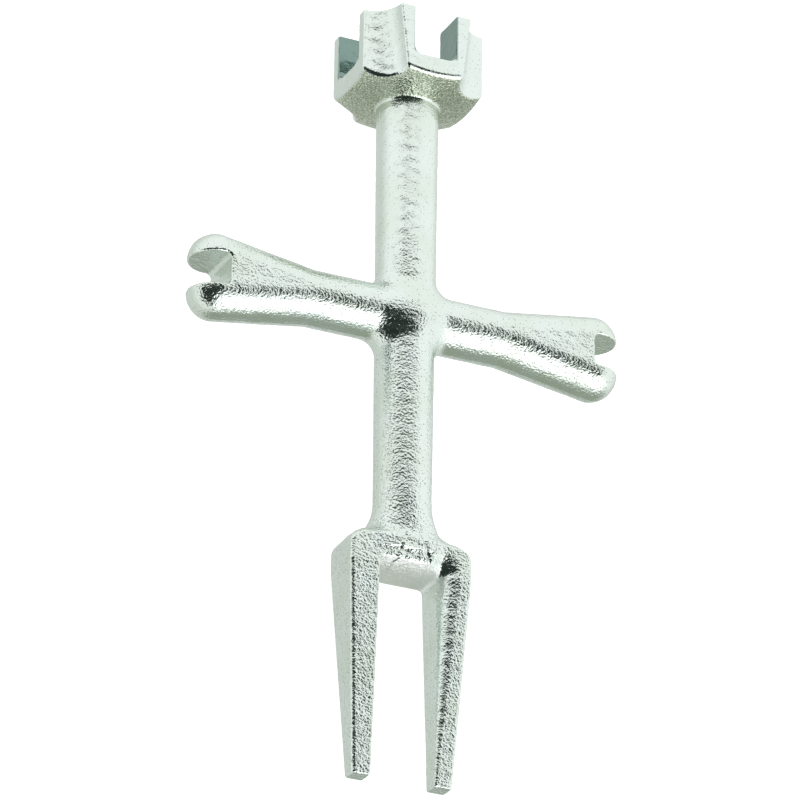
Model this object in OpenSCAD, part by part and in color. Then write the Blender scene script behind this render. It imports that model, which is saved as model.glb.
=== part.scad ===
// Four-way strainer and drain-plug wrench, one zinc-plated casting.
// A castellated crown tops a round stem, two arms with slotted ends cross the stem, and a
// two-prong fork ends it. The regions of the casting are separate solids that meet face to face.
// X runs along the arms, Y up the stem towards the crown, Z out of the front.
// The origin is the middle of the whole wrench. Millimetres.

/* [Overall] */
// Length from the lug tops of the crown to the fork tips
overall_length = 228.6; // [215:0.1:245]
// Height of the arms' centre line above the fork tips
arm_height = 138.8; // [130:0.1:145]
// Span from arm tip to arm tip
arm_span = 132; // [115:0.1:140]

/* [Stem] */
// Diameter of the stem under the crown
stem_top_d = 17.9; // [16.4:0.1:20]
// Diameter of the stem above the fork
stem_bottom_d = 16.3; // [15:0.1:17]
// Half height and half width of the crossing where the arms join the stem
hub_reach = 14; // [12:0.5:17]
// Radius of the fillets between stem and arms
hub_fillet = 5; // [3:0.5:5.5]

/* [Crown] */
// Width of the crown across its flats
crown_size = 37.7; // [34:0.1:44]
// Height of the crown from its rim to the lug tops
crown_height = 20.8; // [20:0.1:26]
// Depth of the four slots between the lugs
slot_depth = 15.1; // [12:0.1:18]
// Width of the slots that open at the front and the back
front_slot_w = 13; // [10:0.1:15]
// Width of the slots that open at the two sides
side_slot_w = 13.8; // [10:0.1:15]
// Radius of the scooped corners at the lug tops
scoop_top_r = 7.9; // [6:0.1:8.2]
// Radius of the scooped corners at the rim
scoop_rim_r = 10.2; // [8:0.1:10.5]
// Height of the shallow cone from the stem to the rim
underside_rise = 2.5; // [1.5:0.1:3]
// Width of the chamfer round the rim, at the middle of each face
rim_chamfer = 1.5; // [0.5:0.1:2]
// Rise of that chamfer for each millimetre outwards
rim_slope = 0.5; // [0.2:0.1:0.6]

/* [Arms] */
// Diameter of each arm near the stem
arm_neck_d = 16.2; // [14:0.1:16.4]
// Distance from the stem's axis to where each arm starts to flare
flare_start = 29.5; // [24:0.5:34]
// Diameter of each rounded jaw
jaw_d = 15.8; // [13:0.1:16]
// Height of each flared end over its two jaws
jaw_height = 25.5; // [22:0.1:28]
// Height of the slot between the jaws
jaw_slot_w = 9.5; // [7:0.1:10.5]
// Depth of the slot from the arm's tip
jaw_slot_depth = 9.8; // [7:0.1:14]

/* [Fork] */
// Width over the two prongs where they leave the yoke
fork_w = 36.8; // [32:0.1:38]
// Width over the two prongs at their tips
fork_tip_w = 29.9; // [26:0.1:31]
// Clear gap between the prongs
fork_gap = 19.7; // [16:0.1:21]
// Length of the prongs
prong_length = 60.5; // [52:0.5:64]
// Thickness of the yoke, front to back
yoke_t = 14.2; // [12:0.1:16]
// Thickness of the prong tips, front to back
prong_tip_t = 5.5; // [4:0.1:9]
// Height of the yoke from the crotch to where the stem starts to widen
yoke_h = 17; // [14:0.5:20]
// Radius of the yoke's rounded shoulders
shoulder_r = 6.5; // [4:0.5:7]

/* [Hidden] */
$fn = 96;
plate = [0.83, 0.87, 0.84];

top_y = overall_length / 2;
tip_y = -overall_length / 2;
arm_y = tip_y + arm_height;
rim_y = top_y - crown_height;
slot_floor_y = top_y - slot_depth;
neck_y = rim_y - underside_rise;
hub_top_y = arm_y + hub_reach;
hub_bottom_y = arm_y - hub_reach;
crotch_y = tip_y + prong_length;
yoke_top_y = crotch_y + yoke_h;
arm_tip = arm_span / 2;
jaw_offset = (jaw_height - jaw_d) / 2;
jaw_x = arm_tip - jaw_d / 2;
jaw_split = arm_tip - jaw_slot_depth;
flare_neck_d = arm_neck_d - 0.3;

// Radius of the tapered stem at the height y
function stem_r(y) = (stem_bottom_d + (stem_top_d - stem_bottom_d)
                      * (y - yoke_top_y) / (neck_y - yoke_top_y)) / 2;

// Turns a solid that was drawn along Z so that it runs up the stem, starting at the height y
module up_stem(y) { translate([0, y, 0]) rotate([-90, 0, 0]) children(); }

// A length of the tapered stem between two heights
module stem_length(y0, y1) {
    up_stem(y0) cylinder(h = y1 - y0, r1 = stem_r(y0), r2 = stem_r(y1));
}

// ---------------------------------------------------------------- crown

// The four scooped corners, widening from the lug tops down to below the rim
module corner_scoops() {
    for (sx = [-1, 1], sz = [-1, 1])
        translate([sx * crown_size / 2, 0, sz * crown_size / 2])
            up_stem(rim_y - 2) cylinder(h = crown_height + 3, r1 = scoop_rim_r, r2 = scoop_top_r);
}

// The square head below the slots, with its chamfered rim and the shallow cone to the stem
module crown_base() {
    color(plate) difference() {
        intersection() {
            translate([-crown_size / 2, neck_y, -crown_size / 2])
                cube([crown_size, slot_floor_y - neck_y, crown_size]);
            up_stem(neck_y) rotate_extrude()
                polygon([[0, 0], [stem_r(neck_y), 0],
                         [crown_size / 2 - rim_chamfer, underside_rise - rim_slope * rim_chamfer],
                         [crown_size, underside_rise + rim_slope * crown_size / 2],
                         [crown_size, crown_height], [0, crown_height]]);
        }
        corner_scoops();
    }
}

// One corner lug of the crown; sx and sz are its side of the stem
module crown_lug(sx, sz) {
    wide = (crown_size - front_slot_w) / 2;
    deep = (crown_size - side_slot_w) / 2;
    color(plate) difference() {
        translate([sx > 0 ? front_slot_w / 2 : -crown_size / 2, slot_floor_y,
                   sz > 0 ? side_slot_w / 2 : -crown_size / 2])
            cube([wide, slot_depth, deep]);
        corner_scoops();
    }
}
module crown_lug_front_left() { crown_lug(-1, 1); }
module crown_lug_front_right() { crown_lug(1, 1); }
module crown_lug_back_left() { crown_lug(-1, -1); }
module crown_lug_back_right() { crown_lug(1, -1); }

// ---------------------------------------------------------------- stem and crossing

module upper_stem() { color(plate) stem_length(hub_top_y, neck_y); }
module lower_stem() { color(plate) stem_length(yoke_top_y, hub_bottom_y); }

// The crossing, with a fillet in each of its four corners
module cross_hub() {
    stem = stem_r(arm_y);
    neck = arm_neck_d / 2;
    corner = hub_fillet - 1;
    color(plate) union() {
        stem_length(hub_bottom_y, hub_top_y);
        translate([-hub_reach, arm_y, 0]) rotate([0, 90, 0])
            cylinder(h = 2 * hub_reach, d = arm_neck_d);
        for (sx = [-1, 1], sy = [-1, 1])
            translate([sx * (stem - 1), arm_y + sy * (neck - 1), -3])
                linear_extrude(height = 6) difference() {
                    translate([sx > 0 ? 0 : -corner, sy > 0 ? 0 : -corner]) square(corner);
                    translate([sx * hub_fillet, sy * hub_fillet]) circle(r = hub_fillet);
                }
    }
}

// ---------------------------------------------------------------- arms

// Outline of one jaw's rod: a slim cone that ends in a dome of radius r at the distance l
function rod_outline(l, r) = concat([[0, -r / 2], [flare_neck_d / 2 - 0.1, -r / 2], [r, l]],
    [for (i = [1 : 9]) [r * cos(9 * i), l + r * sin(9 * i)]], [[0, l + r]]);

// The rod that carries one jaw of the right arm; s is 1 for the upper and -1 for the lower
module rod(s) {
    length = jaw_x - flare_start;
    spread = atan2(jaw_offset, length);
    translate([flare_start, arm_y, 0]) rotate([0, 0, s * spread]) rotate([0, 90, 0])
        rotate_extrude() polygon(rod_outline(norm([length, jaw_offset]), jaw_d / 2));
}

// The web that fills between the two rods
module web() {
    thick = jaw_d - 0.6;
    translate([0, 0, -thick / 2]) linear_extrude(height = thick)
        polygon([[flare_start, arm_y], [jaw_x, arm_y + jaw_offset], [jaw_x, arm_y - jaw_offset]]);
}

// A block over part of the right arm, from x0 to x1 and between two heights from the arm's axis
module arm_window(x0, x1, y0, y1) {
    translate([x0, arm_y + y0, -jaw_d]) cube([x1 - x0, y1 - y0, 2 * jaw_d]);
}

// The arm from the crossing out to the floor of its slot
module arm_body() {
    color(plate) intersection() {
        union() {
            translate([hub_reach, arm_y, 0]) rotate([0, 90, 0])
                cylinder(h = flare_start + 1 - hub_reach, d = arm_neck_d);
            rod(1);
            rod(-1);
            web();
        }
        arm_window(hub_reach, jaw_split, -jaw_height, jaw_height);
    }
}

// One rounded jaw past the floor of the slot; s is 1 above the slot and -1 below it
module jaw(s) {
    color(plate) intersection() {
        rod(s);
        arm_window(jaw_split, arm_tip + 1, s > 0 ? jaw_slot_w / 2 : -jaw_height,
                   s > 0 ? jaw_height : -jaw_slot_w / 2);
    }
}

module right_arm() { arm_body(); }
module right_upper_jaw() { jaw(1); }
module right_lower_jaw() { jaw(-1); }
module left_arm() { mirror([1, 0, 0]) arm_body(); }
module left_upper_jaw() { mirror([1, 0, 0]) jaw(1); }
module left_lower_jaw() { mirror([1, 0, 0]) jaw(-1); }

// ---------------------------------------------------------------- fork

// Right half of the yoke's outline: a hollow curve off the stem, then the rounded shoulder
function yoke_outline() =
    let (half = fork_w / 2, neck = 7.4, fillet = 5,
         side_y = crotch_y + 5, round_x = half - shoulder_r, round_y = side_y)
    concat([[0, crotch_y], [half, crotch_y]],
           [for (a = [0 : 9 : 63]) [round_x + shoulder_r * cos(a), round_y + shoulder_r * sin(a)]],
           [for (a = [0 : 10 : 60]) [neck + fillet * (1 - sin(30 + a)),
                                     yoke_top_y - fillet * cos(30 + a) + 1]],
           [[0, yoke_top_y + 1]]);

// The yoke: the stem runs into a flat block with rounded shoulders
module fork_yoke() {
    color(plate) intersection() {
        union() {
            stem_length(crotch_y, yoke_top_y);
            translate([0, 0, -yoke_t / 2]) linear_extrude(height = yoke_t) union() {
                polygon(yoke_outline());
                mirror([1, 0]) polygon(yoke_outline());
            }
        }
        translate([-fork_w, crotch_y, -fork_w]) cube([2 * fork_w, yoke_h, 2 * fork_w]);
    }
}

// The right prong: its outer side leans in and its front and back faces close towards the tip
module prong() {
    color(plate) intersection() {
        translate([0, 0, -yoke_t]) linear_extrude(height = 2 * yoke_t)
            polygon([[fork_gap / 2, crotch_y], [fork_w / 2, crotch_y],
                     [fork_tip_w / 2, tip_y], [fork_gap / 2, tip_y]]);
        rotate([0, 90, 0]) linear_extrude(height = fork_w)
            polygon([[-yoke_t / 2, crotch_y], [yoke_t / 2, crotch_y],
                     [prong_tip_t / 2, tip_y], [-prong_tip_t / 2, tip_y]]);
    }
}
module right_prong() { prong(); }
module left_prong() { mirror([1, 0, 0]) prong(); }

crown_base();
crown_lug_front_left();
crown_lug_front_right();
crown_lug_back_left();
crown_lug_back_right();
upper_stem();
cross_hub();
lower_stem();
left_arm();
left_upper_jaw();
left_lower_jaw();
right_arm();
right_upper_jaw();
right_lower_jaw();
fork_yoke();
left_prong();
right_prong();
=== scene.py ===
"""Looks for the four-way strainer wrench: one zinc-plated casting, shown as closed regions.

The casting is described once, as a distance field in millimetres. Each CAD region gets its own
piece of that surface, cut at the CAD's planes, so neighbouring pieces meet without a seam.
"""

import math

import bmesh
import bpy
import numpy as np
from mathutils import Matrix, Vector


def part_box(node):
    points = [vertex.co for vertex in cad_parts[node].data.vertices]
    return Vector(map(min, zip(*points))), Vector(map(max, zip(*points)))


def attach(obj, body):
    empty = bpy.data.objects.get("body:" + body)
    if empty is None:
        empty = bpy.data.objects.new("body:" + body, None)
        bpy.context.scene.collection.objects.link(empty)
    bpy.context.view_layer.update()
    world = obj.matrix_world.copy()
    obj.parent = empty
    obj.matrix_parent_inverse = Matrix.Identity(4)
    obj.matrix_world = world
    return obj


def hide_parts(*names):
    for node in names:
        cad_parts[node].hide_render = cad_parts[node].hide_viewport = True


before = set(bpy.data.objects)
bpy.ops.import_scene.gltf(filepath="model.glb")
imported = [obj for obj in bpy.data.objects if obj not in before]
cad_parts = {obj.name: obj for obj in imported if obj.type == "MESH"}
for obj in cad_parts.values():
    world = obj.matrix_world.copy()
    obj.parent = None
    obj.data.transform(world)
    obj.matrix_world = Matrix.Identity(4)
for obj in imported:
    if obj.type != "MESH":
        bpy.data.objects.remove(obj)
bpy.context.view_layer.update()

MM = 0.001  # the frame is in metres, the casting's field in millimetres


def cad(node):
    """Lowest and highest corner of a CAD node, in millimetres."""
    low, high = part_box(node)
    return Vector(low) / MM, Vector(high) / MM


# ------------------------------------------------------------------ sizes, read from the frame

base_low, base_high = cad("crown_base")
lug_low, lug_high = cad("crown_lug_front_right")
hub_low, hub_high = cad("cross_hub")
jaw_low, jaw_high = cad("right_upper_jaw")
arm_low, arm_high = cad("right_arm")
yoke_low, yoke_high = cad("fork_yoke")
prong_low, prong_high = cad("right_prong")
upper_low, upper_high = cad("upper_stem")

CROWN_HALF = base_high.x
TOP_Y = lug_high.y
SLOT_FLOOR_Y = base_high.y
NECK_Y = base_low.y
FRONT_SLOT_HALF = lug_low.x
SIDE_SLOT_HALF = lug_low.z
STEM_TOP_R = upper_high.x
ARM_Y = (hub_low.y + hub_high.y) / 2
ARM_TIP = jaw_high.x
JAW_R = jaw_high.z
JAW_SPLIT = arm_high.x
JAW_SLOT_HALF = jaw_low.y - ARM_Y
JAW_OFFSET = jaw_high.y - ARM_Y - JAW_R
JAW_X = ARM_TIP - JAW_R
NECK_R = arm_high.z
YOKE_TOP_Y = yoke_high.y
CROTCH_Y = yoke_low.y
TIP_Y = prong_low.y
FORK_HALF = yoke_high.x
YOKE_HALF_T = prong_high.z
STEM_BOTTOM_R = yoke_high.z
GAP_HALF = prong_low.x - 0.4  # the cast skin stands a little inside the CAD's gap

# ------------------------------------------------------------------ sizes of the casting's details

CELL = 0.4  # spacing of the surface's vertices

ARM_FILLET = 4.5  # where the arms meet the stem
CROWN_FILLET = 0.9  # where the crown meets it
YOKE_FILLET = 3.0  # where the fork's block meets it
FLARE_START = 29.5  # from the stem's axis to where an arm starts to flare
JAW_SLOT_ROUND = 1.6  # corners of a jaw slot's floor
JAW_EDGE = 0.7  # its edges

SCOOP_DEEP = 8.4  # a corner scoop's size along the crown's left or right side
SCOOP_TOP_WIDE = 7.8  # its size along the front or back, at the lugs' tops
SCOOP_RIM_WIDE = 10.2  # the same at the rim
RIM_RISE = 2.5  # from the crown's neck up to the rim, at the middle of each side
RIM_SLOPE = 0.5  # rise of the rim's chamfer for each millimetre outwards
UNDERSIDE_SLOPE = 0.21  # the same inside the chamfer
RIM_EDGE = 1.0
UNDERSIDE_EDGE = 0.5  # between the underside and the rim's chamfer
SCOOP_EDGE = 0.7
TOP_EDGE = 0.6  # edges of the lugs' tops
FRONT_SLOT_ROUND = 2.6  # corners of the crown's slot floors
SIDE_SLOT_ROUND = 3.4
SLOT_CROSSING = 1.0  # upright edges where the two slots cross
SLOT_EDGE = 0.5

SKIRT_WIDE = 6.5  # how far the stem's foot widens to each side
SKIRT_TOP = 22.5  # it starts this far over the crotch
SKIRT_END = 9.5  # and is full here
STEM_FADE = 1.1  # how far the stem's end is drawn in, inside the yoke
STEM_FADE_RISE = 4.0  # the drawing in starts this far over the yoke
STEM_END = 7.0  # from the crotch up to the stem's end
STEM_OVERLAP = 3.0  # how far the stem runs up into the crown
FORK_TIP_HALF = 14.95  # half the width over the prong tips
PRONG_TIP_HALF_T = 2.75
SHOULDER_RISE = 10.1  # from the crotch to the top of the yoke's shoulders
SHOULDER_X = 14.0  # from here outwards a shoulder falls
SHOULDER_SLOPE = 0.6
SHOULDER_ROUND = 2.5
ARRIS_ROUND = 1.1  # long outer edges of the fork
ARRIS_TOP_ROUND = 3.5  # the same at the shoulders' top
ARRIS_RISE = 7.0  # from the crotch up to where the rounding starts to grow
TIP_EDGE = 0.6  # edges of the prongs' tips
INNER_ROUND = 0.6  # edges of the gap
WORN_ROUND = 5.4  # added to the right prong's front inner edge, at the crotch
WORN_X = (6.0, 9.5)  # where the wear fades in, from the gap's middle to the right prong
WORN_Z = (-4.0, 0.0)  # and from its back to its front
CROTCH_BEVEL_Z = 3.2  # from here to the front, the crotch is bevelled
CROTCH_BEVEL_SLOPE = 0.65
CROTCH_ROUND = 1.5

SCAR_RISE = 12.6  # from the crotch to the top of the gate's torn flap
SCAR_RIGHT = (5.4, 1.6)  # from the stem's axis to the flap's right side, at its foot and top
SCAR_LEFT = (5.2, 1.4)
SCAR_ROUND = 1.5  # its top left corner
SCAR_HEIGHT = 0.34
SCAR_TEARS = 0.08  # how uneven the flap is
SCAR_CREASE = 0.3  # depth of the crease along the flap's right side
CREASE_WIDE = 0.45
FLASH_HEIGHT = 0.12  # the mould's parting line
FLASH_WIDE = 0.3
LUMP_HEIGHT = 0.009  # of each wave of the casting's unevenness
LUMP_LENGTHS = (2.6, 3.1, 3.7, 4.4, 5.5, 7.0, 9.0, 12.0)

# ------------------------------------------------------------------ distance-field building blocks


def round_union(a, b, r):
    """The union of two fields with a concave fillet of radius r where they meet."""
    u = np.maximum(r - a, 0)
    v = np.maximum(r - b, 0)
    return np.maximum(r, np.minimum(a, b)) - np.hypot(u, v)


def round_cut(a, b, r):
    """The intersection of two fields with its edge rounded to radius r."""
    return -round_union(-a, -b, r)


def blend(a, b, t):
    """From a, where t is 0, to b, where t is 1."""
    return a + (b - a) * t


def ramp(v, start, end):
    """0 before start, 1 after end, and straight between them."""
    return np.clip((v - start) / (end - start), 0, 1)


# ------------------------------------------------------------------ the casting


def stem(x, y, z):
    """The round stem, with a foot that widens sideways into the yoke."""
    radius = blend(STEM_BOTTOM_R, STEM_TOP_R, ramp(y, YOKE_TOP_Y, NECK_Y))
    skirt = SKIRT_WIDE * ramp(y, CROTCH_Y + SKIRT_TOP, CROTCH_Y + SKIRT_END) ** 2
    fading = STEM_FADE * ramp(y, YOKE_TOP_Y + STEM_FADE_RISE, CROTCH_Y + STEM_END)
    side = np.hypot(x * radius / (radius + skirt), z) - radius + fading
    ends = np.maximum(y - (NECK_Y + STEM_OVERLAP), CROTCH_Y + STEM_END - y)
    return np.maximum(side, ends)


def arms(x, y, z):
    """Both arms, with the slots in their ends."""
    out = np.abs(x)
    along = ramp(out, FLARE_START, JAW_X)
    radius = blend(NECK_R, JAW_R, along)
    above = np.maximum(np.abs(y - ARM_Y) - JAW_OFFSET * along, 0)
    past = np.maximum(out - JAW_X, 0)
    body = np.sqrt(above**2 + z**2 + past**2) - radius
    slot = round_cut(np.abs(y - ARM_Y) - JAW_SLOT_HALF, JAW_SPLIT - out, JAW_SLOT_ROUND)
    return round_cut(body, -slot, JAW_EDGE)


def crown(x, y, z):
    """The castellated head: a square with scooped corners, crossed by two slots."""
    ax, az = np.abs(x), np.abs(z)
    sides = np.maximum(ax, az) - CROWN_HALF
    up = ramp(y, NECK_Y + RIM_RISE, TOP_Y)
    wide = blend(SCOOP_RIM_WIDE, SCOOP_TOP_WIDE, up)
    scoop = np.hypot((ax - CROWN_HALF) / wide, (az - CROWN_HALF) / SCOOP_DEEP) - 1
    scoop = scoop * SCOOP_DEEP
    block = round_cut(sides, -scoop, SCOOP_EDGE)
    block = round_cut(block, y - TOP_Y, TOP_EDGE)
    out = np.hypot(x, z)
    cone = NECK_Y + UNDERSIDE_SLOPE * (out - STEM_TOP_R) - y
    chamfer = NECK_Y + RIM_RISE + RIM_SLOPE * (out - CROWN_HALF) - y
    under = round_cut(cone, chamfer / math.hypot(1, RIM_SLOPE), UNDERSIDE_EDGE)
    block = round_cut(block, under, RIM_EDGE)
    front_slot = round_cut(ax - FRONT_SLOT_HALF, SLOT_FLOOR_Y - y, FRONT_SLOT_ROUND)
    side_slot = round_cut(az - SIDE_SLOT_HALF, SLOT_FLOOR_Y - y, SIDE_SLOT_ROUND)
    kept = round_cut(-front_slot, -side_slot, SLOT_CROSSING)
    return round_cut(block, kept, SLOT_EDGE)


def fork_block(x, y, z, down):
    """The fork's outside: tapered prongs, and shoulders that fall outwards."""
    ax, az = np.abs(x), np.abs(z)
    outside = ax - blend(FORK_TIP_HALF, FORK_HALF, down)
    faces = az - blend(PRONG_TIP_HALF_T, YOKE_HALF_T, down)
    top = CROTCH_Y + SHOULDER_RISE
    shoulder = y - top + SHOULDER_SLOPE * np.maximum(ax - SHOULDER_X, 0)
    arris = blend(ARRIS_ROUND, ARRIS_TOP_ROUND, ramp(y, CROTCH_Y + ARRIS_RISE, top))
    block = round_cut(outside, shoulder, SHOULDER_ROUND)
    return round_cut(block, faces, arris)


def fork(x, y, z):
    """The yoke's block and the two prongs below it. The arrises are crisp, but for the front
    inner one of the right prong, which is worn round."""
    down = ramp(y, TIP_Y, CROTCH_Y)
    block = fork_block(x, y, z, down)
    bevel = (z - CROTCH_BEVEL_Z) * CROTCH_BEVEL_SLOPE - (y - CROTCH_Y)
    bevel = bevel / math.hypot(1, CROTCH_BEVEL_SLOPE)
    roof = round_cut(CROTCH_Y - y, bevel, CROTCH_ROUND)
    gap = round_cut(np.abs(x) - GAP_HALF, -roof, CROTCH_ROUND)
    worn = ramp(x, *WORN_X) * ramp(z, *WORN_Z)
    inner = INNER_ROUND + WORN_ROUND * down * worn
    block = round_cut(block, -gap, inner)
    return round_cut(block, TIP_Y - y, TIP_EDGE)


def gate_scar(x, y):
    """Height of the torn flap over the crotch's front, where the metal's gate was broken off."""
    up = y - CROTCH_Y
    ragged = 0.35 * np.sin(2.1 * up) + 0.2 * np.sin(4.7 * up + 1)
    narrowing = ramp(up, 1, 12)
    right = blend(*SCAR_RIGHT, narrowing) - x
    left = blend(*SCAR_LEFT, narrowing) + x + ragged
    edge = round_cut(-left, up - SCAR_RISE, SCAR_ROUND)
    inside = ramp(np.minimum(-edge, right), 0, 0.5)
    crease = np.exp(-(((right + CREASE_WIDE) / CREASE_WIDE) ** 2))
    crease = crease * ramp(up, 1, 3) * ramp(up, 12, 9)
    torn = np.sin(1.3 * x + 0.8 * y) * np.sin(1.1 * y - 0.7 * x + 1.0)
    return inside * (SCAR_HEIGHT + SCAR_TEARS * torn) - SCAR_CREASE * crease


def lumps(x, y, z):
    """The casting's slight unevenness, from waves of a few millimetres."""
    height = 0
    for kx, ky, kz, phase in LUMP_WAVES:
        height = height + np.sin(kx * x + ky * y + kz * z + phase)
    return LUMP_HEIGHT * height


def parting_line(x, y, z):
    """Height of the flash where the mould's halves met: a fine ridge that comes and goes."""
    length = 0.6 + 0.4 * np.sin(0.31 * x + 0.23 * y + 1) * np.sin(0.17 * y - 0.4 * x)
    return FLASH_HEIGHT * length * np.exp(-((z / FLASH_WIDE) ** 2))


def casting(x, y, z):
    """The whole wrench."""
    body = round_union(stem(x, y, z), arms(x, y, z), ARM_FILLET)
    body = round_union(body, crown(x, y, z), CROWN_FILLET)
    body = round_union(body, fork(x, y, z), YOKE_FILLET)
    body = body - lumps(x, y, z) - parting_line(x, y, z)
    return body - np.where(z > 0, gate_scar(x, y), 0)


random = np.random.default_rng(7)
LUMP_WAVES = []
for wavelength in LUMP_LENGTHS:
    direction = random.normal(size=3)
    direction *= 2 * math.pi / wavelength / np.linalg.norm(direction)
    LUMP_WAVES.append((*direction, random.uniform(0, 2 * math.pi)))

# ------------------------------------------------------------------ from field to mesh


def net_points(value, inside):
    """One point in each lattice cell that the surface crosses: the middle of the crossings on the
    cell's edges. Returns the cells, the points inside them and each cell's number."""
    shape = tuple(np.array(value.shape) - 1)
    total = np.zeros(shape + (3,))
    count = np.zeros(shape)
    corners = [(i, j, k) for i in (0, 1) for j in (0, 1) for k in (0, 1)]
    for a in corners:
        for axis in range(3):
            if a[axis]:
                continue
            b = tuple(c + (n == axis) for n, c in enumerate(a))
            at_a = tuple(slice(c, c + s) for c, s in zip(a, shape))
            at_b = tuple(slice(c, c + s) for c, s in zip(b, shape))
            va, vb = value[at_a], value[at_b]
            crossed = inside[at_a] != inside[at_b]
            share = np.where(crossed, va / np.where(crossed, va - vb, 1), 0)
            for n in range(3):
                step = share if n == axis else a[n]
                total[..., n] += np.where(crossed, step, 0)
            count += crossed
    used = count > 0
    index = np.full(shape, -1)
    index[used] = np.arange(used.sum())
    return np.argwhere(used), total[used] / count[used][:, None], index


def net_quads(inside, index):
    """One quad round each lattice edge that the surface crosses, facing outwards."""
    quads = []
    for axis in range(3):
        u, v = (axis + 1) % 3, (axis + 2) % 3
        here = [slice(1, s) for s in index.shape]
        here[axis] = slice(0, index.shape[axis])
        there = list(here)
        there[axis] = slice(1, index.shape[axis] + 1)
        a, b = inside[tuple(here)], inside[tuple(there)]
        for flip in (False, True):
            at = np.argwhere((a & ~b) if not flip else (b & ~a))
            at[:, u] += 1
            at[:, v] += 1
            ring = []
            for du, dv in ((-1, -1), (0, -1), (0, 0), (-1, 0)):
                c = at.copy()
                c[:, u] += du
                c[:, v] += dv
                ring.append(index[c[:, 0], c[:, 1], c[:, 2]])
            if flip:
                ring.reverse()
            quads.append(np.stack(ring, 1))
    return np.concatenate(quads)


def field_mesh(field, low, high):
    """Surface nets: the zero surface of a field over a box, on one lattice shared by all pieces.
    Returns vertices and quads."""
    first = np.floor(np.array(low) / CELL).astype(int) - 2
    last = np.ceil(np.array(high) / CELL).astype(int) + 2
    axes = [np.arange(first[i], last[i] + 1) * CELL for i in range(3)]
    value = field(*np.meshgrid(*axes, indexing="ij"))
    inside = value < 0
    cells, points, index = net_points(value, inside)
    return (cells + points + first) * CELL, net_quads(inside, index)


def gradient(field, p, step=0.05):
    """The field's slope at the points p."""
    out = np.zeros_like(p)
    for n in range(3):
        d = np.zeros(3)
        d[n] = step
        out[:, n] = (field(*(p + d).T) - field(*(p - d).T)) / (2 * step)
    return out


def settle(field, p, rounds=3):
    """Moves the points p onto the field's zero surface."""
    for _ in range(rounds):
        g = gradient(field, p)
        size = np.maximum((g**2).sum(1), 0.2)
        p = p - g * np.clip(field(*p.T) / size, -CELL / 2, CELL / 2)[:, None]
    return p


def cut_and_cap(bm, axis, limit, sign):
    """Cuts the mesh at a plane across an axis and closes it there. The caps' faces are marked by
    material index 1."""
    normal = Vector((0, 0, 0))
    normal[axis] = sign
    point = Vector((0, 0, 0))
    point[axis] = limit
    everything = bm.verts[:] + bm.edges[:] + bm.faces[:]
    cut = bmesh.ops.bisect_plane(
        bm, geom=everything, dist=1e-6, plane_co=point, plane_no=normal, clear_outer=True
    )
    rim = [e for e in cut["geom_cut"] if isinstance(e, bmesh.types.BMEdge)]
    rim = [e for e in rim if e.is_boundary]
    if not rim:
        return
    for face in bmesh.ops.holes_fill(bm, edges=rim, sides=0)["faces"]:
        face.normal_update()
        if face.normal.dot(normal) < 0:
            face.normal_flip()
        face.material_index = 1


def set_normals(mesh, is_cap):
    """Gives the corners the field's own normals, and the caps flat ones."""
    where = np.zeros(len(mesh.vertices) * 3)
    mesh.vertices.foreach_get("co", where)
    slope = gradient(casting, where.reshape(-1, 3))
    slope /= np.maximum(np.linalg.norm(slope, axis=1), 1e-9)[:, None]
    corner_vertex = np.zeros(len(mesh.loops), int)
    mesh.loops.foreach_get("vertex_index", corner_vertex)
    normals = slope[corner_vertex]
    for face in mesh.polygons:
        if is_cap[face.index]:
            normals[face.loop_start : face.loop_start + face.loop_total] = face.normal
    mesh.normals_split_custom_set(normals.tolist())


def make_piece(name, node, low, high, material):
    """One closed region of the casting, between the planes of the box from low to high.
    An infinite side of the box isn't cut."""
    node_low, node_high = cad(node)
    span_low = [max(v, b - MARGIN) for v, b in zip(low, node_low)]
    span_high = [min(v, b + MARGIN) for v, b in zip(high, node_high)]
    verts, quads = field_mesh(casting, span_low, span_high)
    verts = settle(casting, verts)

    mesh = bpy.data.meshes.new(name)
    mesh.from_pydata(verts.tolist(), [], quads.tolist())
    bm = bmesh.new()
    bm.from_mesh(mesh)
    for axis in range(3):
        for limit, sign in ((low[axis], -1), (high[axis], 1)):
            if not math.isinf(limit):
                cut_and_cap(bm, axis, limit, sign)
    bm.faces.ensure_lookup_table()
    is_cap = [f.material_index == 1 for f in bm.faces]
    for f in bm.faces:
        f.material_index = 0
        f.smooth = True
    bm.to_mesh(mesh)
    open_edges = sum(not e.is_manifold for e in bm.edges)
    bm.free()

    set_normals(mesh, is_cap)
    mesh.transform(Matrix.Scale(MM, 4))
    mesh.materials.append(material)
    piece = bpy.data.objects.new(name, mesh)
    bpy.context.scene.collection.objects.link(piece)
    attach(piece, "root")
    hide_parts(node)
    print(f"piece {name}: {len(mesh.polygons)} faces, {open_edges} open edges")
    return piece


# ------------------------------------------------------------------ material

PLATE_WARM = (0.74, 0.81, 0.74)
PLATE_COOL = (0.78, 0.85, 0.82)
PORE_COLOUR = (0.22, 0.27, 0.24)
# painted shade: the dark colour given to the crown's slot walls, in place of the shade inside the
# slots
SLOT_WALL_SHADE = (0.23, 0.33, 0.30)
# painted shade: the darker olive colours of the crown's underside, mottled between these two
UNDERSIDE_SHADE_DARK = (0.46, 0.51, 0.40)
UNDERSIDE_SHADE_LIGHT = (0.74, 0.80, 0.68)
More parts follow.
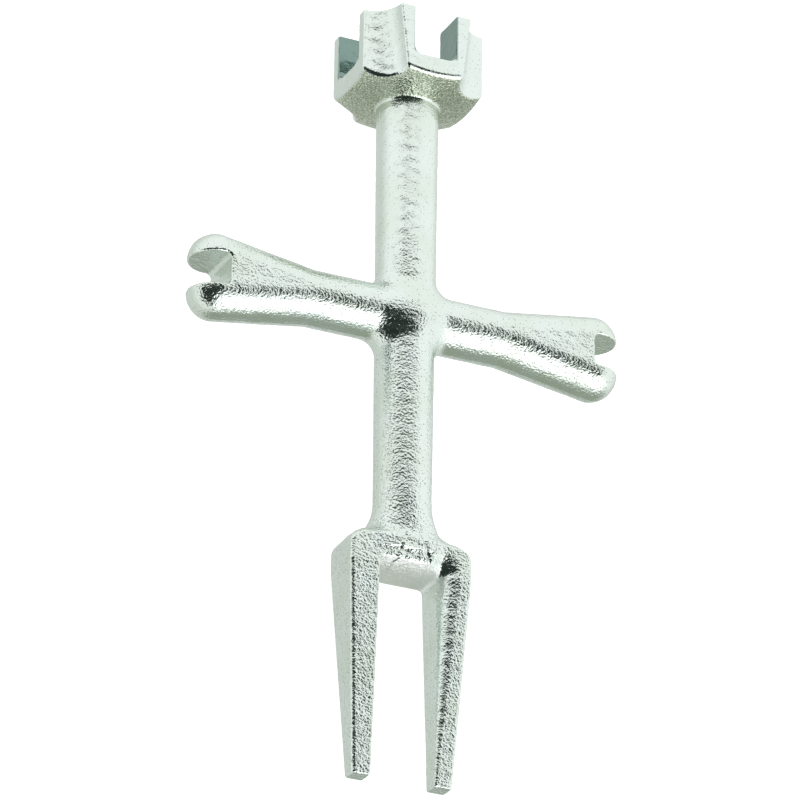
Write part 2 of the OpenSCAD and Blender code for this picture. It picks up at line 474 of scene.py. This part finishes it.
# painted highlight: the near-white colour of the crotch, which is also given a matt roughness
CROTCH_HIGHLIGHT_COLOUR = (0.97, 0.99, 0.97)
CROTCH_ROUGHNESS = 0.55
BUMP_DISTANCE = 0.0004
TINT_SCALE = 90  # of the noise between the plate's two colours
SHINE_SCALE = 700  # of the noise in its roughness
SHINE = (0.12, 0.24)  # least and most roughness
GRAIN_SCALE = 1450
UNDERSIDE_MOTTLE_SCALE = 2000
PORE_SCALE = 1100
PORE_SIZE = (0.12, 0.26)  # a pore's floor and its rim, as shares of a mosaic cell
PORES_CHOSEN = (0.35, 0.55)  # cells with a random value over these get a pore
FORK_GRAIN, STEM_GRAIN = 0.75, 0.45  # strength of the grain's bump on the fork and the stem
CROWN_GRAIN = 0.3  # share of the stem's that is left on the crown


class Maker:
    """Adds nodes to a material's tree. Heights and sizes in it are in metres."""

    def __init__(self, tree):
        self.nodes, self.links = tree.nodes, tree.links
        self.place = self.nodes.new("ShaderNodeTexCoord")
        self.at = self.parts(self.place.outputs["Object"])
        self.facing = self.parts(self.place.outputs["Normal"])

    def parts(self, vector):
        """The X, Y and Z of a vector."""
        node = self.nodes.new("ShaderNodeSeparateXYZ")
        self.links.new(vector, node.inputs["Vector"])
        return node.outputs

    def noise(self, scale, detail):
        """Noise on the casting, with a grain of about 1 / scale metres."""
        node = self.nodes.new("ShaderNodeTexNoise")
        node.inputs["Scale"].default_value = scale
        node.inputs["Detail"].default_value = detail
        self.links.new(self.place.outputs["Object"], node.inputs["Vector"])
        return node.outputs["Fac"]

    def spread(self, value, low, high, start, end):
        """Low at start, high at end, and straight between them."""
        node = self.nodes.new("ShaderNodeMapRange")
        node.inputs["From Min"].default_value = start
        node.inputs["From Max"].default_value = end
        node.inputs["To Min"].default_value = low
        node.inputs["To Max"].default_value = high
        self.links.new(value, node.inputs["Value"])
        return node.outputs["Result"]

    def mixed(self, amount, first, second):
        """The first colour where the amount is 0, and the second where it is 1."""
        node = self.nodes.new("ShaderNodeMixRGB")
        self.links.new(amount, node.inputs["Fac"])
        for source, name in ((first, "Color1"), (second, "Color2")):
            if isinstance(source, tuple):
                node.inputs[name].default_value = (*source, 1)
            else:
                self.links.new(source, node.inputs[name])
        return node.outputs["Color"]

    def combined(self, operation, first, second):
        """One of the Math node's operations. A fixed value is written as a float."""
        node = self.nodes.new("ShaderNodeMath")
        node.operation = operation
        for n, source in enumerate((first, second)):
            if isinstance(source, float):
                node.inputs[n].default_value = source
            else:
                self.links.new(source, node.inputs[n])
        return node.outputs["Value"]

    def both(self, first, second):
        return self.combined("MULTIPLY", first, second)


def pores(make):
    """Small open pores, in about half of the cells of a random mosaic."""
    cells = make.nodes.new("ShaderNodeTexVoronoi")
    cells.inputs["Scale"].default_value = PORE_SCALE
    make.links.new(make.place.outputs["Object"], cells.inputs["Vector"])
    chosen = make.parts(cells.outputs["Color"])["X"]
    return make.both(make.spread(cells.outputs["Distance"], 1, 0, *PORE_SIZE),
                     make.spread(chosen, 0, 1, *PORES_CHOSEN))


def shaded_slot_walls(make):
    """1 on the walls of the crown's two slots, where shade is painted into the plate's colour."""

    def inside(across, half_width):
        size = make.combined("ABSOLUTE", across, 0.0)
        return make.spread(size, 1, 0, (half_width + 0.1) * MM, (half_width + 0.5) * MM)

    slots = make.combined("MAXIMUM", inside(make.at["X"], FRONT_SLOT_HALF),
                          inside(make.at["Z"], SIDE_SLOT_HALF))
    above = make.spread(make.at["Y"], 0, 1, SLOT_FLOOR_Y * MM, (SLOT_FLOOR_Y + 1) * MM)
    return make.both(slots, above)


def shaded_crown_underside(make):
    """1 on the crown's underside, where a darker, mottled olive colour is painted in as shade."""
    return make.both(make.spread(make.facing["Y"], 1, 0, -0.85, -0.5),
                     make.spread(make.at["Y"], 0, 1, (NECK_Y - 2) * MM, (NECK_Y - 1) * MM))


def crotch_highlight_mask(make):
    """1 on the crotch, whose colour is painted bright as a highlight, and which is made matt."""
    near = make.both(make.spread(make.at["Y"], 0, 1, (CROTCH_Y - 2) * MM, (CROTCH_Y - 1) * MM),
                     make.spread(make.at["Y"], 1, 0, (CROTCH_Y + 3) * MM, (CROTCH_Y + 4) * MM))
    return make.both(near, make.spread(make.facing["Y"], 1, 0, -0.7, -0.4))


def worn_arrises(make):
    """0.6 on the prongs' left front arrises, which are worn smooth."""
    turned = make.both(make.spread(make.facing["X"], 1, 0, -0.2, -0.08),
                       make.spread(make.facing["X"], 0, 1, -0.95, -0.85))
    turned = make.both(turned, make.spread(make.facing["Z"], 0, 0.6, 0.1, 0.3))
    return make.both(turned, make.spread(make.at["Y"], 1, 0, (CROTCH_Y + 2) * MM, (CROTCH_Y + 6) * MM))


def grain_strength(make):
    """The strength of the grain's bump: most on the fork, and least on the crown."""
    strength = make.both(make.spread(make.at["Y"], FORK_GRAIN, STEM_GRAIN, -0.045, 0.02),
                         make.spread(make.at["Y"], 1, CROWN_GRAIN, 0.03, 0.05))
    return make.both(strength, make.combined("SUBTRACT", 1.0, worn_arrises(make)))


def zinc_plate():
    """Bright zinc plate over a fine cast grain, with pores, painted shade on the slot walls and the
    crown's underside, and a painted highlight on the crotch.
    """
    mat = bpy.data.materials.new("zinc_plate")
    mat.use_nodes = True
    shader = mat.node_tree.nodes["Principled BSDF"]
    shader.inputs["Metallic"].default_value = 1.0
    make = Maker(mat.node_tree)
    pore = pores(make)
    under = shaded_crown_underside(make)
    crotch_highlight = crotch_highlight_mask(make)

    tint = make.spread(make.noise(TINT_SCALE, 2), 0, 1, 0.35, 0.65)
    plate = make.mixed(tint, PLATE_WARM, PLATE_COOL)
    plate = make.mixed(make.both(pore, 0.6), plate, PORE_COLOUR)
    # painted shade on the walls of the crown's slots
    plate = make.mixed(shaded_slot_walls(make), plate, SLOT_WALL_SHADE)
    # painted shade on the crown's underside, mottled by noise
    underside_mottle = make.spread(make.noise(UNDERSIDE_MOTTLE_SCALE, 1), 0, 1, 0.4, 0.6)
    plate = make.mixed(under, plate, make.mixed(underside_mottle, UNDERSIDE_SHADE_DARK, UNDERSIDE_SHADE_LIGHT))
    # painted highlight on the crotch
    plate = make.mixed(crotch_highlight, plate, CROTCH_HIGHLIGHT_COLOUR)
    make.links.new(plate, shader.inputs["Base Color"])

    rough = make.spread(make.noise(SHINE_SCALE, 2), *SHINE, 0.3, 0.7)
    rough = make.combined("MAXIMUM", rough, make.both(crotch_highlight, CROTCH_ROUGHNESS))
    make.links.new(rough, shader.inputs["Roughness"])

    bump = make.nodes.new("ShaderNodeBump")
    bump.inputs["Distance"].default_value = BUMP_DISTANCE
    grain = make.combined("SUBTRACT", make.noise(GRAIN_SCALE, 1), make.both(pore, 0.3))
    make.links.new(grain, bump.inputs["Height"])
    strength = make.combined("MAXIMUM", grain_strength(make), under)
    make.links.new(strength, bump.inputs["Strength"])
    make.links.new(bump.outputs["Normal"], shader.inputs["Normal"])
    return mat


# ------------------------------------------------------------------ pieces

INF = math.inf
MARGIN = 2.0  # how far past its CAD node's box a region's surface is looked for
LUG_CUT = SLOT_FLOOR_Y + 0.6  # just over the slots' floor, so that the cut never lies in it
JAW_CUT = JAW_SPLIT + 0.6
PRONG_CUT = CROTCH_Y - 0.6

zinc = zinc_plate()
REGIONS = [
    ("crown_base", (-INF, NECK_Y, -INF), (INF, LUG_CUT, INF)),
    ("crown_lug_front_left", (-INF, LUG_CUT, 0), (0, INF, INF)),
    ("crown_lug_front_right", (0, LUG_CUT, 0), (INF, INF, INF)),
    ("crown_lug_back_left", (-INF, LUG_CUT, -INF), (0, INF, 0)),
    ("crown_lug_back_right", (0, LUG_CUT, -INF), (INF, INF, 0)),
    ("upper_stem", (-INF, hub_high.y, -INF), (INF, NECK_Y, INF)),
    ("cross_hub", tuple(hub_low[:2]) + (-INF,), tuple(hub_high[:2]) + (INF,)),
    ("lower_stem", (-INF, YOKE_TOP_Y, -INF), (INF, hub_low.y, INF)),
    ("left_arm", (-JAW_CUT, -INF, -INF), (hub_low.x, INF, INF)),
    ("left_upper_jaw", (-INF, ARM_Y, -INF), (-JAW_CUT, INF, INF)),
    ("left_lower_jaw", (-INF, -INF, -INF), (-JAW_CUT, ARM_Y, INF)),
    ("right_arm", (hub_high.x, -INF, -INF), (JAW_CUT, INF, INF)),
    ("right_upper_jaw", (JAW_CUT, ARM_Y, -INF), (INF, INF, INF)),
    ("right_lower_jaw", (JAW_CUT, -INF, -INF), (INF, ARM_Y, INF)),
    ("fork_yoke", (-INF, PRONG_CUT, -INF), (INF, YOKE_TOP_Y, INF)),
    ("left_prong", (-INF, -INF, -INF), (0, PRONG_CUT, INF)),
    ("right_prong", (0, -INF, -INF), (INF, PRONG_CUT, INF)),
]
for node, low, high in REGIONS:
    make_piece("cast_" + node, node, low, high, zinc)

# ------------------------------------------------------------------ floor, light and camera


def make_floor():
    """A white floor under the wrench, which lies on the back of its crown and its prong tips.
    The camera sees it evenly lit, as on a light table."""
    bpy.ops.mesh.primitive_plane_add(size=6)
    floor = bpy.context.object
    floor.name = "floor"
    crown_back = Vector((0, TOP_Y, -CROWN_HALF)) * MM
    tip_back = Vector((0, TIP_Y, -PRONG_TIP_HALF_T)) * MM
    floor.rotation_euler = (math.atan2(crown_back.z - tip_back.z, crown_back.y - tip_back.y), 0, 0)
    floor.location = (crown_back + tip_back) / 2 - Vector((0, 0, 0.0005))
    floor.visible_glossy = False  # the wrench mirrors the studio's table instead
    mat = bpy.data.materials.new("pale_floor")
    mat.use_nodes = True
    matt = mat.node_tree.nodes["Principled BSDF"]
    matt.inputs["Base Color"].default_value = (0.95, 0.95, 0.95, 1)
    matt.inputs["Roughness"].default_value = 0.9
    matt.inputs["Emission Color"].default_value = (1, 1, 1, 1)
    matt.inputs["Emission Strength"].default_value = 0.8
    floor.data.materials.append(mat)
    return floor


# What the metal mirrors, patch over patch: its direction, how far out it is full and where it
# ends in degrees, and its colour. X is right, Y is up the stem and Z is out of the front.
STUDIO_TOP = (1.04, 1.06, 1.05)
STUDIO = [
    ("table", (0, 0, -1), 45, 95, (0.70, 0.73, 0.70)),
    ("table_edge", (0.38, -0.75, -0.5), 22, 46, (0.34, 0.38, 0.32)),
    ("dark_room", (-0.384, -0.423, 0.821), 46, 49, (0.02, 0.03, 0.025)),
    ("dark_left", (-0.864, -0.052, 0.499), 17, 21, (0.02, 0.03, 0.025)),
    ("dark_front", (0, -0.04, 1), 21, 24, (0.02, 0.03, 0.025)),
    ("dark_right", (0.241, 0.04, 0.97), 14, 19, (0.02, 0.03, 0.025)),
    ("low_window", (0.384, -0.756, 0.53), 26, 33, (1.7, 1.7, 1.7)),
]


def make_world():
    """A light tent: white above, a darker table below, and the dark room behind the camera."""
    world = bpy.data.worlds.new("studio")
    world.use_nodes = True
    nodes, links = world.node_tree.nodes, world.node_tree.links
    place = nodes.new("ShaderNodeTexCoord")
    colour = nodes.new("ShaderNodeRGB")
    colour.outputs[0].default_value = (*STUDIO_TOP, 1)
    latest = colour.outputs[0]
    for name, direction, full, end, tint in STUDIO:
        along = nodes.new("ShaderNodeVectorMath")
        along.operation = "DOT_PRODUCT"
        along.inputs[1].default_value = Vector(direction).normalized()
        links.new(place.outputs["Generated"], along.inputs[0])
        edge = nodes.new("ShaderNodeMapRange")
        edge.interpolation_type = "SMOOTHSTEP"
        edge.inputs["From Min"].default_value = math.cos(math.radians(end))
        edge.inputs["From Max"].default_value = math.cos(math.radians(full))
        links.new(along.outputs["Value"], edge.inputs["Value"])
        mix = nodes.new("ShaderNodeMixRGB")
        mix.name = name
        mix.inputs["Color2"].default_value = (*tint, 1)
        links.new(edge.outputs["Result"], mix.inputs["Fac"])
        links.new(latest, mix.inputs["Color1"])
        latest = mix.outputs["Color"]
    links.new(latest, nodes["Background"].inputs["Color"])
    bpy.context.scene.world = world
    bpy.context.scene.view_settings.view_transform = "Standard"


# The camera is given as seen by someone who holds the wrench upright with its front facing them
CAMERA_LEFT = math.radians(25.06)
CAMERA_BELOW = math.radians(25.02)
CAMERA_ROLL = math.radians(0.79)
CAMERA_DISTANCE = 1.4076
LENS_MM = 225.9
AIM_RIGHT, AIM_UP = -0.00129, -0.02255  # from the crossing of the arms to the picture's middle


def make_camera():
    """The camera at the photograph's viewing angle."""
    back = Vector(
        (
            -math.sin(CAMERA_LEFT) * math.cos(CAMERA_BELOW),
            -math.sin(CAMERA_BELOW),
            math.cos(CAMERA_LEFT) * math.cos(CAMERA_BELOW),
        )
    )
    right = Vector((math.cos(CAMERA_LEFT), 0, math.sin(CAMERA_LEFT)))
    up = back.cross(right)
    turned_right = right * math.cos(CAMERA_ROLL) + up * math.sin(CAMERA_ROLL)
    turned_up = up * math.cos(CAMERA_ROLL) - right * math.sin(CAMERA_ROLL)
    aim = Vector((0, ARM_Y * MM, 0)) + turned_right * AIM_RIGHT + turned_up * AIM_UP
    data = bpy.data.cameras.new("camera")
    data.lens = LENS_MM
    data.sensor_width = 36
    data.clip_end = 20
    camera = bpy.data.objects.new("camera", data)
    axes = Matrix((turned_right, turned_up, back)).transposed().to_4x4()
    camera.matrix_world = Matrix.Translation(aim + back * CAMERA_DISTANCE) @ axes
    bpy.context.scene.collection.objects.link(camera)
    bpy.context.scene.camera = camera


make_floor()
make_world()
make_camera()
